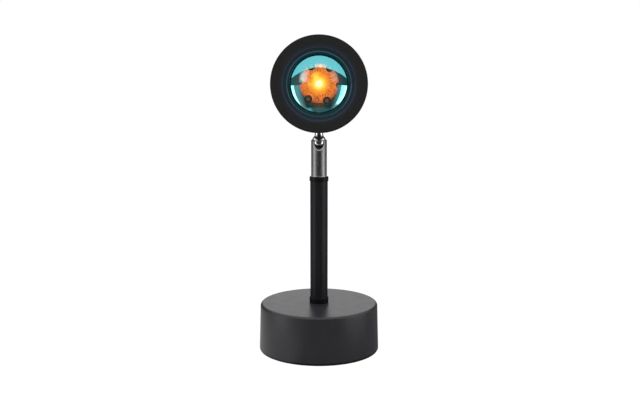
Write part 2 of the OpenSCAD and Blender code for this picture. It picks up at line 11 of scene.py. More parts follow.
import bmesh
import bpy
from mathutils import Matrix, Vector


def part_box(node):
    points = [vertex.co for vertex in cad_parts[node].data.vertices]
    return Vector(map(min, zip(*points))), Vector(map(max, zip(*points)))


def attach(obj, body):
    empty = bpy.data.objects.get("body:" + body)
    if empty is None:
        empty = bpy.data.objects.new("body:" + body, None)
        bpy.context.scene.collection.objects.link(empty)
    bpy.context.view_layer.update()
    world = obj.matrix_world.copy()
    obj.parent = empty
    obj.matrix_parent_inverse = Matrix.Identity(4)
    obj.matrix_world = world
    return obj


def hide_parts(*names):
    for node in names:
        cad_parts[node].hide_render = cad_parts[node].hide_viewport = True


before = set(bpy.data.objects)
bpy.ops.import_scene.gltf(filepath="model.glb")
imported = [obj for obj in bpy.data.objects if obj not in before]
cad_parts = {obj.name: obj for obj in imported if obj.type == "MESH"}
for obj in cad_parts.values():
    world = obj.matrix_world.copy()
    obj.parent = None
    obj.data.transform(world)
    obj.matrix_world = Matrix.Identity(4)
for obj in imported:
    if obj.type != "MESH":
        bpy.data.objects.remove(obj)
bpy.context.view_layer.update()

# %% [markdown]
# ## Sizes to line things up with
# A piece made here sits on a solid, so it reads its place from the solid's own box. The head's
# axis runs front to back through the middle of the drum. Front is towards minus Y, and a name
# that ends in "depth" says how far a thing lies in front of the lamp's upright axis.

# %% Read the places of the main solids
mm = 0.001
head_low, head_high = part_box("head_shell")
head_z = head_high.z - (head_high.x - head_low.x) / 2
lens_low, lens_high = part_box("lens")
lens_r = (lens_high.x - lens_low.x) / 2
board_face_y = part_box("led_board")[0].y
board_r = 10 * mm
print(f"head axis at {head_z / mm:.2f} mm, lens radius {lens_r / mm:.2f} mm")

# %% [markdown]
# ## The camera
# The lamp was photographed from about two thirds of a metre, a little above the middle of the
# head and tipped down by eight degrees, through a normal lens. That keeps the round base slightly
# open to view while the head stays face-on. The whole picture sits one pixel left of the middle,
# which a shift of one pixel in 640 reproduces.

# %% Set the camera
picture_w = 640                        # pixels
sensor_w = 36                          # millimetres, as is the focal length
focal_length = 50.006
distance = 0.679                       # metres, as is the height
eye_height = 0.2175
tip = 8.384                            # degrees below level
view = bpy.data.cameras.new("studio_camera")
view.sensor_width = sensor_w
view.lens = focal_length
view.shift_x = 1 / picture_w
camera = bpy.data.objects.new("studio_camera", view)
camera.location = (0, -distance, eye_height)
camera.rotation_euler = (math.radians(90 - tip), 0, 0)
bpy.context.collection.objects.link(camera)
bpy.context.scene.camera = camera
bpy.context.scene.view_settings.view_transform = "Standard"
print("camera", tuple(round(v, 3) for v in camera.location))

# %% [markdown]
# ## Node trees as sums
# Finishes and repeated pieces are both made of nodes. Wiring sums by hand hides the idea, so a
# small class wraps a socket and turns +, -, * and / into Math nodes. Every other node comes from
# one method, which takes the node's type, its settings and its sockets.

# %% Arithmetic on sockets
class Signal:
    """A number that flows out of a node. Arithmetic on it adds Math nodes to its tree."""

    def __init__(self, graph, socket):
        self.graph = graph
        self.socket = socket

    def math(self, operation, *values, clamp=False):
        """A Math node over values, in their order."""
        return self.graph.add("ShaderNodeMath", {"operation": operation, "use_clamp": clamp},
                              dict(enumerate(values)), give=0)

    def __add__(self, other):
        return self.math("ADD", self, other)

    def __radd__(self, other):
        return self.math("ADD", other, self)

    def __sub__(self, other):
        return self.math("SUBTRACT", self, other)

    def __rsub__(self, other):
        return self.math("SUBTRACT", other, self)

    def __mul__(self, other):
        return self.math("MULTIPLY", self, other)

    def __rmul__(self, other):
        return self.math("MULTIPLY", other, self)

    def __truediv__(self, other):
        return self.math("DIVIDE", self, other)

    def __rtruediv__(self, other):
        return self.math("DIVIDE", other, self)

    def __pow__(self, other):
        return self.math("POWER", self, other)

    def __neg__(self):
        return self.math("MULTIPLY", self, -1)

    def __abs__(self):
        return self.math("ABSOLUTE", self)

    def ramp(self, start, end):
        """0 below start, 1 above end, straight between them."""
        return self.math("DIVIDE", self - start, end - start, clamp=True)

    def least(self, other):
        """The smaller of two values."""
        return self.math("MINIMUM", self, other)

    def most(self, other):
        """The larger of two values."""
        return self.math("MAXIMUM", self, other)


class Graph:
    """A node tree that is filled through one method."""

    def __init__(self, tree):
        self.tree = tree

    def add(self, kind, settings=None, sockets=None, give=None):
        """Adds a node. It returns the node, or the outputs that give names or numbers."""
        node = self.tree.nodes.new(kind)
        for key, value in (settings or {}).items():
            if key == "stops":
                self.fill_ramp(node.color_ramp, value)
            else:
                setattr(node, key, value)
        for key, value in (sockets or {}).items():
            socket = node.inputs[key]
            if isinstance(value, Signal):
                self.tree.links.new(value.socket, socket)
            else:
                socket.default_value = value
        if give is None:
            return node
        if isinstance(give, tuple):
            return tuple(Signal(self, node.outputs[name]) for name in give)
        return Signal(self, node.outputs[give])

    @staticmethod
    def fill_ramp(ramp, stops):
        """Gives a colour ramp its stops of (position, colour)."""
        while len(ramp.elements) < len(stops):
            ramp.elements.new(1)
        for element, (position, colour) in zip(ramp.elements, stops):
            element.position = position
            element.color = (*colour, 1)


print("sockets can be added, subtracted, multiplied and divided")

# %% [markdown]
# ## Finishes
# A finish is a material, and nearly always one Principled shader that patterns feed. Patterns are
# measured in metres on the solid itself, through Object coordinates, so they stay put when the
# lamp's joints turn.

# %% A finish and its patterns
class Finish(Graph):
    """A material, and the patterns that its shader can be fed with."""

    def __init__(self, name):
        self.material = bpy.data.materials.new(name)
        self.material.use_nodes = True
        super().__init__(self.material.node_tree)
        self.tree.nodes.clear()
        self.surface = self.add("ShaderNodeOutputMaterial")
        self.place = self.add("ShaderNodeTexCoord", give="Object")
        self.x, self.y, self.z = self.add("ShaderNodeSeparateXYZ", sockets={0: self.place},
                                          give=("X", "Y", "Z"))

    def polar(self):
        """Distance from the head's axis in metres, and the angle round it."""
        up = self.z - head_z
        return (self.x * self.x + up * up) ** 0.5, self.x.math("ARCTAN2", up, self.x)

    def vector(self, x, y):
        """A place on a flat pattern."""
        return self.add("ShaderNodeCombineXYZ", sockets={0: x, 1: y}, give=0)

    def ramped(self, place, stops):
        """A colour read from stops of (position, colour)."""
        return self.add("ShaderNodeValToRGB", {"stops": stops}, {0: place}, give=0)

    def noise(self, grain, detail=3, stretch=(1, 1, 1)):
        """Cloudy noise whose blots are about grain metres across."""
        place = self.add("ShaderNodeMapping", sockets={"Vector": self.place, "Scale": stretch},
                         give=0)
        return self.add("ShaderNodeTexNoise", None,
                        {"Vector": place, "Scale": 1 / grain, "Detail": detail}, give=0)

    def mix(self, factor, first, second):
        """A colour between two colours."""
        return self.add("ShaderNodeMix", {"data_type": "RGBA"},
                        {0: factor, 6: self.rgba(first), 7: self.rgba(second)}, give=2)

    @staticmethod
    def rgba(colour):
        """A typed colour gets its alpha. A colour that flows out of a node stays as it is."""
        return colour if isinstance(colour, Signal) else (*colour, 1)

    def bump(self, height, relief, strength):
        """A normal from a height between 0 and 1 that stands for relief metres."""
        return self.add("ShaderNodeBump", None,
                        {"Height": height, "Distance": relief, "Strength": strength}, give=0)

    def principled(self, **sockets):
        """The Principled shader. A socket's name is written in lower case with underscores."""
        named = {key.replace("_", " ").title().replace("Ior", "IOR"): value
                 for key, value in sockets.items()}
        return self.add("ShaderNodeBsdfPrincipled", None, named, give=0)

    def show(self, shader):
        """Makes shader the material's surface and returns the material."""
        self.tree.links.new(shader.socket, self.surface.inputs["Surface"])
        return self.material


def grey(value, warm=0.0):
    """A grey by its linear brightness, a little warmer or cooler."""
    return (value * (1 + warm), value, value * (1 - warm))


def wear(material, *nodes):
    """Puts one material on whole solids."""
    for name in nodes:
        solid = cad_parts[name].data
        solid.materials.clear()
        solid.materials.append(material)


print("finishes read object coordinates in metres")

# %% [markdown]
# ## The studio
# Black paint shows its shape only by what it mirrors, and so does a coated lens. The picture
# tells where the lights were: a wide light hung over the lamp and drew the pale crescent on the
# upper lens, the white table drew the two bars on its lower left and right, and the room in
# front of the lens was dark. The world below paints that room for mirrors. All other surfaces
# get an even light from it, and the camera sees pure white, so the lamp stands on a white page
# from every side.

# %% Paint the room
class Room(Graph):
    """The world's node tree."""

    def __init__(self):
        world = bpy.data.worlds.new("studio_room")
        bpy.context.scene.world = world
        world.use_nodes = True
        super().__init__(world.node_tree)
        self.tree.nodes.clear()


light_front, light_back = 1.25, 1      # the wide light's reach, per metre of its height
light_bow = 0.19                       # its front edge runs forward to both sides by this slope
page_slope = 3.7                       # the page behind is so many times as deep as half its width
patch_inner, patch_outer = 0.38, 1.15  # sides of a pale patch of wall, per metre in front
patch_top = 0.85                       # and its top
left_patch, right_patch = 0.85, 0.26   # brightness of the two patches
darkness = 0.05                        # brightness of the dark room
left_side, right_side = 0.1, 0.04      # what the far left and the far right add to it
ambient = 0.55                         # brightness of the room for all other rays

room = Room()
x, y, z = room.add("ShaderNodeSeparateXYZ",
                   sockets={0: room.add("ShaderNodeTexCoord", give="Generated")},
                   give=("X", "Y", "Z"))
for_camera, for_mirror = room.add("ShaderNodeLightPath", give=("Is Camera Ray", "Is Glossy Ray"))
up = z.most(0.01)
front = (-y).most(0.01)
overhead = ((y / up + light_front + light_bow * abs(x / up)).ramp(-0.03, 0.03)
            * (light_back - y / up).ramp(-0.05, 0.05) * z.ramp(0.15, 0.2))
page_behind = (y - page_slope * abs(x)).ramp(-0.1, 0.4) * z.ramp(0.0, 0.1)


def pale_wall(side, brightness):
    """A dim patch of wall in front of the lamp, left (-1) or right (1)."""
    across = side * x / front
    rise = z / front
    return (brightness * across.ramp(patch_inner, 0.72) * (patch_outer - across).ramp(0, 0.25)
            * rise.ramp(0, 0.15) * (patch_top - rise).ramp(0, 0.35))


walls = pale_wall(-1, left_patch).most(pale_wall(1, right_patch))
dark_room = darkness + left_side * (-x).ramp(0.6, 0.9) + right_side * x.ramp(0.6, 0.9)
mirror_level = overhead.most(page_behind).most(walls).most(dark_room)
hidden_level = for_mirror * mirror_level + (1 - for_mirror) * ambient
level = for_camera + (1 - for_camera) * hidden_level
backdrop = room.add("ShaderNodeBackground", None, {"Color": (1, 1, 1, 1), "Strength": level},
                    give=0)
world_output = room.add("ShaderNodeOutputWorld")
room.tree.links.new(backdrop.socket, world_output.inputs["Surface"])
print("mirrors see a light above, a page behind, pale walls in front and darkness elsewhere")

# %% [markdown]
# ## Lamps
# One wide soft light hangs above and a little in front, and two smaller ones stand in front,
# left and right. They are there for the matt share of each finish. Neither the camera nor a
# mirror sees them, because the painted room already holds what mirrors show: the crescent on the
# lens and the pale patches beside the glow. A lamp's power is worked out from its size, so that
# its face has the brightness that is asked for.

# %% Hang the lamps
def soft_light(name, centre, target, width, height, brightness):
    """A rectangular lamp that shines from centre towards target."""
    lamp = bpy.data.lights.new(name, "AREA")
    lamp.shape = "RECTANGLE"
    lamp.size = width
    lamp.size_y = height
    lamp.energy = brightness * math.pi * width * height
    thing = bpy.data.objects.new(name, lamp)
    thing.location = centre
    aim = Vector(target) - Vector(centre)
    thing.rotation_euler = aim.to_track_quat("-Z", "Y").to_euler()
    thing.visible_camera = False
    thing.visible_glossy = False
    bpy.context.collection.objects.link(thing)


hang = 0.75                            # height of the wide light above the head
front_edge = -1.2 * hang
back_edge = 0.9 * hang
middle = (front_edge + back_edge) / 2
soft_light("overhead_light", (0, middle, head_z + hang), (0, middle, 0),
           width=6.4 * hang, height=back_edge - front_edge, brightness=1.0)
reach = 0.9                            # distance of the side lamps from the head's middle
aside, forward, above = 0.55, 0.79, 0.27    # and their direction from it, as a vector 1 long
for side, strength in ((-1, 0.35), (1, 0.25)):
    soft_light("side_light", (side * aside * reach, -forward * reach, head_z + above * reach),
               (0, 0, head_z), width=0.24 * reach, height=0.3 * reach, brightness=strength)
print("three lamps hung")

# %% [markdown]
# ## The floor
# The page under the lamp is white to the camera as well. It keeps a breath of real shading, so
# the base still casts a faint contact shadow. Mirrors and the lens see a painted table instead.
# It is bright to the left and right of the lamp and dark in front of it, because the white table
# ended there: that edge draws the two bars on the lens. Close to the foot it is dim, and less so
# on the left.

# %% Lay the floor
floor_r = 3.0
mesh = bpy.data.meshes.new("white_page")
mesh.from_pydata([(-floor_r, -floor_r, 0), (floor_r, -floor_r, 0),
                  (floor_r, floor_r, 0), (-floor_r, floor_r, 0)], [], [(0, 1, 2, 3)])
floor = bpy.data.objects.new("white_page", mesh)
bpy.context.collection.objects.link(floor)

edge_start = 0.03                      # the table's front edge starts this far in front
edge_right, edge_left = 0.76, 0.588    # and runs forward by these slopes to each side
far_table = 2.4                        # brightness of the table well away from the lamp
left_table, right_table = 0.8, 0.3     # and nearer to it
haze_level, back_level = 0.45, 0.2     # brightness beyond its edge, and behind the lamp
least_level = 0.045                    # brightness of everything else
foot_left, foot_level = 0.62, 0.16     # brightness round the foot, on its left and elsewhere
page_glow, glow_share = 1.05, 0.93     # the page for the camera, and how much of it is glow

paper = Finish("white_page")
to_camera, to_mirror, to_lens = paper.add(
    "ShaderNodeLightPath", give=("Is Camera Ray", "Is Glossy Ray", "Is Transmission Ray"))
away = (paper.x * paper.x + paper.y * paper.y) ** 0.5
ahead = -paper.y / away                # 1 straight in front, 0 beside, -1 behind
beside = paper.x / away                # 1 straight to the right, -1 to the left
front_half = ahead.ramp(-0.05, 0.1)
front_line = edge_start + edge_right * paper.x.most(0) + edge_left * (-paper.x).most(0)
table = ((front_line + paper.y) / away).ramp(0, 0.02) * front_half
haze = haze_level * (0.82 - ahead).ramp(0, 0.18) * front_half
behind = back_level * (-ahead).ramp(0, 0.2)
near_table = right_table + (left_table - right_table) * (-beside).ramp(-0.1, 0.1)
bright = near_table + (far_table - near_table) * away.ramp(0.2, 0.27)
far_off = (bright * table).most(haze).most(behind).most(least_level)
close_by = (foot_left * (-beside).ramp(0.3, 0.55)).most(foot_level)
painted = far_off + (close_by - far_off) * (0.17 - away).ramp(0, 0.03)
matt = paper.add("ShaderNodeBsdfDiffuse", None, {"Color": (0.8, 0.8, 0.8, 1)}, give=0)
glow = paper.add("ShaderNodeEmission", None,
                 {"Color": (1, 1, 1, 1),
                  "Strength": page_glow * to_camera + (1 - to_camera) * painted}, give=0)
share = (to_camera * glow_share).most(to_mirror).most(to_lens)
paper.material.cycles.emission_sampling = "NONE"
mesh.materials.append(paper.show(
    paper.add("ShaderNodeMixShader", None, {0: share, 1: matt, 2: glow}, give=0)))
print(f"floor {2 * floor_r:.0f} m across")

# %% [markdown]
# ## Black powder coat
# The casing, the drum and its cover are sprayed with a fine matt powder coat. It is not a flat
# black: the powder leaves a skin of tiny humps, and the gloss wanders a little from place to
# place. A cell pattern gives the humps and a soft noise gives the wandering.

# %% Spray the casing and the head
hump_size = 0.35 * mm
hump_relief = 0.02 * mm


def humps(skin):
    """The cells that powder leaves when it melts together."""
    return skin.add("ShaderNodeTexVoronoi", {"feature": "SMOOTH_F1"},
                    {"Vector": skin.place, "Scale": 1 / hump_size, "Smoothness": 0.6}, give=0)


def tinted(tone):
    """The paint's black is a touch purple."""
    return (tone * 1.04, tone * 0.96, tone * 1.16)


def painted_foot_shade(paint):
    """Painted shade: the casing darkens where its wall turns in over the foot."""
    return (2.0 * mm - paint.z).ramp(0, 0.7 * mm)


def powder_coat(name, tone, gloss, specular, shade=None):
    """Matt sprayed paint: tone is its grey, gloss its roughness, shade where painted shade makes it
    black.
    """
    paint = Finish(name)
    cloud = paint.noise(9 * mm, detail=2)
    speck = paint.noise(0.6 * mm)
    colour = paint.mix(speck.ramp(0.3, 0.7), tinted(tone * 0.8), tinted(tone * 1.25))
    if shade:
        colour = paint.mix(shade(paint), colour, grey(0.001))
    return paint.show(paint.principled(
        base_color=colour, roughness=gloss + 0.1 * (cloud - 0.5) + 0.06 * (speck - 0.5),
        specular_ior_level=specular, normal=paint.bump(humps(paint), hump_relief, 0.5)))


wear(powder_coat("casing_powder_coat", tone=0.022, gloss=0.34, specular=0.5, shade=painted_foot_shade),
     "base_shell")
wear(powder_coat("head_powder_coat", tone=0.013, gloss=0.5, specular=0.3),
     "head_shell", "rear_cover")
print("powder coat on the casing, the drum and its cover")

# %% [markdown]
# ## The bezel and the lens ring
# The black rings round the lens carry painted light: a blue-green glow painted where the coated
# lens throws its light back. It is strongest on the gloss ring and the slope beside it, and fades
# out on the flat face. Both rings have painted highlights on their crests that show as pale arcs,
# and the bezel's outer edge has painted shade, a shade darker.

# %% Stain the rings round the lens
def painted_light_black(name, stops, reach, gloss, specular):
    """Black whose painted light and shade depend on the distance from the head's axis, as a share
    of reach.
    """
    skin = Finish(name)
    away, _ = skin.polar()
    speck = skin.noise(0.6 * mm)
    cloud = skin.noise(8 * mm, detail=2)
    colour = skin.ramped(away / reach + 0.004 * (speck - 0.5), stops)
    colour = skin.mix(0.35 * speck.ramp(0.3, 0.7), colour, (0, 0, 0))
    return skin.show(skin.principled(
        base_color=colour, roughness=gloss + 0.1 * (cloud - 0.5) + 0.06 * (speck - 0.5),
        specular_ior_level=specular, normal=skin.bump(humps(skin), hump_relief, 0.4)))


face_black = (0.0165, 0.016, 0.0165)
# painted light on the bezel: blue-green on the slope, pale arcs as painted highlights, painted
# shade at the outer edge
bezel_light_and_shade_stops = [
    (0.662, (0.040, 0.110, 0.150)), (0.682, (0.020, 0.052, 0.075)), (0.698, (0.008, 0.024, 0.038)),
    (0.730, (0.007, 0.020, 0.036)), (0.748, (0.024, 0.046, 0.066)), (0.766, (0.015, 0.022, 0.036)),
    (0.840, face_black), (0.965, face_black), (0.985, (0.003, 0.003, 0.003))]
# painted light on the lens ring: blue-green all over, with a pale painted highlight near its crest
ring_painted_light_stops = [
    (0.896, (0.004, 0.075, 0.080)), (0.915, (0.003, 0.040, 0.044)), (0.950, (0.005, 0.030, 0.038)),
    (0.972, (0.040, 0.110, 0.150)), (1.0, (0.020, 0.062, 0.082))]
wear(painted_light_black("bezel_coat", bezel_light_and_shade_stops, reach=36 * mm, gloss=0.5, specular=0.42),
     "front_bezel")
wear(painted_light_black("lens_ring_gloss", ring_painted_light_stops, reach=24.2 * mm, gloss=0.22, specular=0.2),
     "lens_ring")
# the rings' stain is painted light and painted shade
print("bezel and lens ring stained")

# %% [markdown]
# ## The sleeve and its collars
# The sleeve over the stem is a drawn tube with a smoother, satin black skin. Drawing leaves
# faint lines along it, so its noise is stretched along Z. The collars are turned, and their
# lines run round instead.

# %% Finish the sleeve and collars
def drawn_black(name, tone, gloss, stretch, specular):
    """Satin black with faint lines along or round the tube."""
    skin = Finish(name)
    lines = skin.noise(0.5 * mm, stretch=stretch)
    cloud = skin.noise(12 * mm, detail=2)
    colour = skin.mix(lines.ramp(0.35, 0.65), tinted(tone * 0.8), tinted(tone * 1.2))
    return skin.show(skin.principled(
        base_color=colour, roughness=gloss + 0.08 * (lines - 0.5) + 0.08 * (cloud - 0.5),
        specular_ior_level=specular, normal=skin.bump(lines, 0.002 * mm, 0.3)))


along = (1, 1, 0.02)
around = (0.15, 0.15, 1)
wear(drawn_black("satin_sleeve", tone=0.012, gloss=0.36, stretch=along, specular=0.14),
     "stem_sleeve")
wear(drawn_black("turned_collar", tone=0.006, gloss=0.38, stretch=around, specular=0.12),
     "foot_collar", "top_collar")
print("sleeve and collars are satin black")

# %% [markdown]
# ## Bright metal
# The barrel is turned steel with a dull nickel skin: fine lines run round it and blur what it
# mirrors, and the bevel round its slot and the edge at its foot are painted pale and matt, a
# painted highlight. The ball and neck are polished and chromed. The fasteners and the other plain
# steel are only zinc plated, so they are greyer, cloudier and slightly yellow, and the recesses of
# the screws at the back are painted dark, a painted shade.

# %% Turn, polish and plate the metal
barrel_low, barrel_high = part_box("slotted_barrel")
barrel_r = barrel_high.x
bevel_front = barrel_r - 1.6 * mm      # the slot's bevel lies further forward than this
bevel_r = barrel_r - 0.07 * mm         # and nearer the axis than this
foot_top = barrel_low.z + 0.9 * mm
screw_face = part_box("rear_screws")[1].y


def barrel_painted_highlights(metal):
    """The bevel round the slot, and the lowest edge of the barrel, where a highlight is painted."""
    across = (metal.x * metal.x + metal.y * metal.y) ** 0.5
    bevel = (bevel_r - across).ramp(0, 0.05 * mm) * (-metal.y - bevel_front).ramp(0, 0.05 * mm)
    foot = 0.35 * (foot_top - metal.z).ramp(0, 0.5 * mm)
    return bevel.most(foot)


def screw_recess_shade(metal):
    """Everything that lies deeper than the rear screws' outer face, where shade is painted."""
    return (screw_face - 0.2 * mm - metal.y).ramp(0, 0.3 * mm)


def bright_metal(name, tone, gloss, lines=0.0, cloud=0.05, warm=0.0, painted_highlight=None, painted_recess_shade=None):
    """A bare metal: lines is how much its turning marks show and cloud its uneven polish."""
    metal = Finish(name)
    marks = metal.noise(0.12 * mm, detail=2, stretch=(0.02, 0.02, 1))
    smoke = metal.noise(3 * mm, detail=4)
    colour = metal.mix(smoke.ramp(0.3, 0.7), grey(tone * 0.93, warm), grey(tone * 1.05, warm))
    matt = 0
    # painted highlight: pale matt grey instead of metal where the barrel's edges catch the light
    if painted_highlight:
        matt = painted_highlight(metal)
        colour = metal.mix(matt, colour, grey(0.8))
    # painted shade: dark grey in the recesses of the rear screws
    if painted_recess_shade:
        colour = metal.mix(painted_recess_shade(metal), colour, grey(0.02, 0.1))
    return metal.show(metal.principled(
        base_color=colour, metallic=1 - matt,
        roughness=gloss + cloud * (smoke - 0.5) + lines * (marks - 0.5),
        normal=metal.bump(marks, 0.003 * mm, 0.3 if lines else 0.02)))


wear(bright_metal("turned_nickel", 0.3, 0.38, lines=0.12, painted_highlight=barrel_painted_highlights), "slotted_barrel")
wear(bright_metal("polished_chrome", 0.78, 0.05, cloud=0.03), "swivel_ball")
wear(bright_metal("dirty_screw", 0.4, 0.3, lines=0.1, cloud=0.14, warm=0.03, painted_recess_shade=screw_recess_shade),
     "rear_screws")
wear(bright_metal("zinc_plate", 0.5, 0.32, lines=0.1, cloud=0.14, warm=0.03),
     "base_plate", "base_screws", "stem_tube", "stem_washer", "stem_nut", "swivel_nut",
     "spring_seat", "seat_spring", "stud_washer", "stud_nut", "heat_sink_screws")
print("four bright finishes")

# %% [markdown]
# ## Inside finishes
# What can be seen through the vents, the lens or a gap still gets its own finish: rough cast
# iron, rubber, dull black plastic, white nylon, the lead's pale jacket, and the green board of
# the driver with its parts.

# %% Cast and mould the inside
def plain_finish(name, colour, gloss, grain, relief, spread=0.2, metallic=0.0):
    """A moulded or cast skin with a grain of its own. Spread is how far its colour wanders."""
    skin = Finish(name)
    speck = skin.noise(grain, detail=4)
    cloud = skin.noise(grain * 14, detail=2)
    dark = tuple(c * (1 - spread) for c in colour)
    pale = tuple(min(1, c * (1 + spread)) for c in colour)
    return skin.show(skin.principled(
        base_color=skin.mix((0.6 * speck + 0.4 * cloud).ramp(0.3, 0.7), dark, pale),
        roughness=gloss + 0.12 * (speck - 0.5), metallic=metallic,
        normal=skin.bump(speck, relief, 0.7)))


wear(plain_finish("cast_iron", (0.075, 0.07, 0.066), 0.62, grain=0.9 * mm, relief=0.08 * mm,
                  spread=0.35, metallic=0.6), "counterweight")
wear(plain_finish("black_rubber", (0.017, 0.017, 0.018), 0.74, grain=0.4 * mm, relief=0.03 * mm),
     "foot_pad", "cord_gland", "lens_seal")
wear(plain_finish("black_moulding", (0.012, 0.013, 0.014), 0.5, grain=0.5 * mm, relief=0.02 * mm),
     "lens_retainer", "light_baffle", "ball_seat")
wear(plain_finish("white_nylon", (0.72, 0.71, 0.67), 0.45, grain=0.7 * mm, relief=0.01 * mm,
                  spread=0.05), "board_spacers")
wear(plain_finish("lead_jacket", (0.7, 0.69, 0.65), 0.42, grain=0.5 * mm, relief=0.01 * mm,
                  spread=0.06), "stem_lead", "stud_lead", "head_lead")
wear(plain_finish("green_board", (0.02, 0.11, 0.045), 0.3, grain=0.4 * mm, relief=0.01 * mm,
                  spread=0.3), "driver_board")
wear(plain_finish("driver_components", (0.3, 0.22, 0.06), 0.4, grain=0.5 * mm, relief=0.02 * mm,
                  spread=0.4), "driver_parts")
print("inside finishes on")

# %% [markdown]
# ## The lit board and its emitter
# The lamp is on. White light leaves the emitter in the middle of a round board, and the lens
# tints and magnifies it into the orange disc of the picture. The glow is a ramp by distance from
# the head's axis: white on the emitter, yellow round it, orange on the board and brown at its
# edge. Fine rays of noise cross the board, a few spots are brighter, where solder and lacquer
# catch the emitter's light, and one is darker.

# %% A finish that glows
def glowing(name, stops, reach, strength, base, gloss, rays=0.0, spots=(), back_y=None):
    """A finish that shines by its distance from the head's axis, as a share of reach.

    Base is its grey and rays how much dark rays cut the glow. A spot is (right, up, radius,
    colour), with its place measured from the axis. Nothing shines further back than back_y.
    """
    skin = Finish(name)
    away, turn = skin.polar()
    speck = skin.noise(0.8 * mm, detail=4)
    glow = skin.ramped(away / reach + 0.05 * (speck - 0.5), stops)
    for right, up, radius, colour in spots:
        off = ((skin.x - right) ** 2 + (skin.z - head_z - up) ** 2) ** 0.5
        glow = skin.mix((1 - off / radius).ramp(0, 0.8), glow, colour)
    if rays:
        ray = skin.add("ShaderNodeTexNoise", None,
                       {"Vector": skin.vector(turn * 4, away / (5 * mm)), "Scale": 1.5,
                        "Detail": 2}, give=0)
        cut = rays * (0.56 - ray).ramp(0, 0.12) * away.ramp(4.2 * mm, 5.5 * mm)
        glow = skin.mix(cut, glow, (0.2, 0.04, 0.01))
    if back_y is not None:
        glow = skin.mix((skin.y - back_y).ramp(0, 0.5 * mm), glow, (0, 0, 0))
    return skin.show(skin.principled(
        base_color=skin.mix(speck.ramp(0.3, 0.7), grey(base * 0.9), grey(base)),
        roughness=gloss + 0.1 * (speck - 0.5), emission_color=glow, emission_strength=strength,
        normal=skin.bump(speck, 0.01 * mm, 0.5)))


print("a glow is a ramp by distance from the head's axis")

# %% [markdown]
# ## Lighting each piece
# The emitter is by far the brightest, and the board takes its light. The plate behind the board
# and the heads of the four screws catch only a little of it, at the front.

# %% Light the board, the emitter and what lies round them
yellow = (1.0, 0.78, 0.12)
board_stops = [(0.0, (0.95, 0.55, 0.05)), (0.42, (0.92, 0.42, 0.02)), (0.72, (0.82, 0.30, 0.01)),
               (0.88, (0.66, 0.19, 0.02)), (1.0, (0.42, 0.11, 0.02))]
board_spots = [(-1.9 * mm, 4.6 * mm, 2.6 * mm, yellow), (-5.2 * mm, -0.4 * mm, 1.6 * mm, yellow),
               (-3.2 * mm, 8.2 * mm, 1.2 * mm, yellow), (0.6 * mm, 8.8 * mm, 1.3 * mm, yellow),
               (-1.0 * mm, -8.3 * mm, 1.6 * mm, (0.25, 0.03, 0.02))]
wear(glowing("lit_board", board_stops, board_r, strength=3.4, base=0.4, gloss=0.4, rays=0.3,
             spots=board_spots), "led_board")

emitter_r = 4 * mm
emitter_stops = [(0.0, (0.6, 1.0, 1.0)), (0.32, (0.6, 1.0, 0.9)), (0.5, (0.55, 0.62, 0.16)),
                 (0.78, (0.46, 0.36, 0.04)), (1.0, (0.44, 0.25, 0.02))]
emitter_spots = [(-1.6 * mm, 3.2 * mm, 2.0 * mm, (0.5, 0.5, 0.08))]
wear(glowing("emitter_glow", emitter_stops, emitter_r, strength=7.0, base=0.7, gloss=0.25,
             spots=emitter_spots), "led_emitter")

sink_r = 13 * mm
sink_stops = [(0.0, (0.15, 0.115, 0.016)), (0.78, (0.15, 0.115, 0.016)), (0.94, (0.05, 0.04, 0.01)),
              (1.0, (0, 0, 0))]
sink_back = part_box("heat_sink")[0].y + 7 * mm
wear(glowing("sink_glow", sink_stops, sink_r, strength=1.0, base=0.02, gloss=0.42,
             back_y=sink_back), "heat_sink")

screw_stops = [(0.0, (0.01, 0.005, 0)), (1.0, (0.01, 0.005, 0))]
screw_angles = [math.radians(a) for a in (55, 115, 235, 295)]
screw_spots = [(board_r * math.cos(a), board_r * math.sin(a), 1.5 * mm, (0.42, 0.26, 0.05))
               for a in screw_angles]
wear(glowing("screw_glow", screw_stops, sink_r, strength=1.0, base=0.05, gloss=0.3,
             spots=screw_spots), "led_screws")
print("emitter, board, screws and the plate behind them are lit")

# %% [markdown]
# ## The lens
# The lens has a flat back and a domed front, ground at the rim, with a colour coating on the
# dome. The coating throws back blue-green light and lets orange through, which is why the picture
# shows a cyan crescent over an orange glow. A solid's facets would show as lines in a mirror
# image, so the lens is turned anew as a smooth ring of many steps, in the solid's own place.
# The coating's mirror is paler low on both sides, a painted highlight on the two bars it mirrors.

# %% Turn a smooth lens
sharp_angle = math.radians(35)         # an edge that folds by more than this stays sharp


def turn_on_head_axis(name, profile, steps):
    """Turns (radius, depth) points about the head's axis. The first and last lie on the axis."""
    shape = bmesh.new()
    rings = []
    for radius, depth in profile:
        if radius == 0:
            rings.append([shape.verts.new((0, -depth, head_z))])
        else:
            rings.append([shape.verts.new((radius * math.cos(a), -depth,
                                           head_z + radius * math.sin(a)))
                          for a in (2 * math.pi * k / steps for k in range(steps))])
    for first, second in zip(rings, rings[1:]):
        for k in range(steps):
            n = (k + 1) % steps
            corners = [first[k % len(first)], first[n % len(first)],
                       second[n % len(second)], second[k % len(second)]]
            shape.faces.new(list(dict.fromkeys(corners)))
    bmesh.ops.recalc_face_normals(shape, faces=shape.faces)
    mesh = bpy.data.meshes.new(name)
    shape.to_mesh(mesh)
    shape.free()
    mesh.shade_smooth()
    mesh.set_sharp_from_angle(angle=sharp_angle)
    thing = bpy.data.objects.new(name, mesh)
    bpy.context.collection.objects.link(thing)
    return thing


